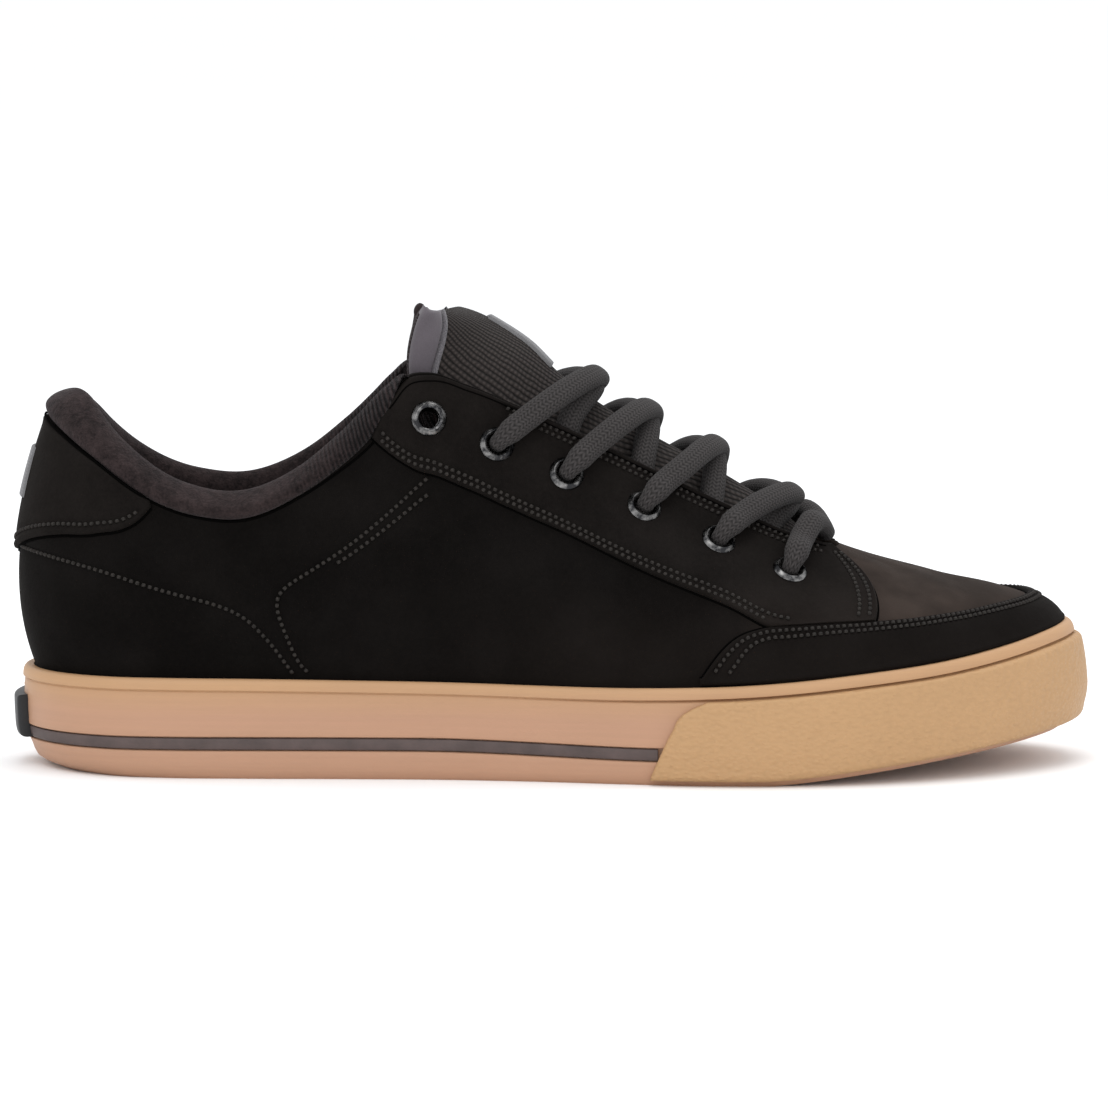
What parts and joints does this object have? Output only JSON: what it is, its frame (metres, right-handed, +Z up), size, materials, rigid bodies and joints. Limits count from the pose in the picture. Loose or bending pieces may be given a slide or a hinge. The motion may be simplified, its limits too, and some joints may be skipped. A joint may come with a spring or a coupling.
{
  "type": "skateboarding shoe",
  "caption": "Low-cut skateboarding shoe for the right foot: dark nubuck upper on a gum cup sole with a pebbled toe bumper, padded collar and tongue, laced.",
  "frame": {"origin": "on the floor, under the middle of the sole's length", "axes": "+X towards the toe, -Y the outer (lateral) side, +Z up"},
  "size_m": [0.3008, 0.1106, 0.127],
  "materials": {
    "nubuck": "matte near-black nubuck",
    "textile": "dark grey-brown plush lining",
    "tongue_mesh": "dark ribbed mesh",
    "lace_cord": "charcoal woven cord",
    "gum_rubber": "tan gum, satin",
    "bumper_rubber": "yellow gum, fine pebbles",
    "dark_rubber": "black, satin",
    "stripe_rubber": "dark grey, matte",
    "gunmetal": "gunmetal plating",
    "footbed": "black textile over foam",
    "patch_grey": "plain light grey"
  },
  "bodies": {
    "root": {"outsole": "gum_rubber", "stripe": "stripe_rubber", "toe_bumper": "bumper_rubber", "heel_tab": "dark_rubber", "insole": "footbed", "upper": "nubuck", "collar_pad": "textile", "tongue": "tongue_mesh", "tongue_label": "patch_grey", "eyestay_lateral": "nubuck", "eyestay_medial": "nubuck", "toe_overlay": "nubuck", "heel_overlay": "nubuck", "heel_patch": "patch_grey", "eyelet_lateral_1": "gunmetal", "eyelet_lateral_2": "gunmetal", "eyelet_lateral_3": "gunmetal", "eyelet_lateral_4": "gunmetal", "eyelet_lateral_5": "gunmetal", "eyelet_lateral_6": "gunmetal", "eyelet_medial_1": "gunmetal", "eyelet_medial_2": "gunmetal", "eyelet_medial_3": "gunmetal", "eyelet_medial_4": "gunmetal", "eyelet_medial_5": "gunmetal", "eyelet_medial_6": "gunmetal", "lace_crossing_1": "lace_cord", "lace_crossing_2": "lace_cord", "lace_crossing_3": "lace_cord", "lace_crossing_4": "lace_cord"}
  },
  "joints": []
}
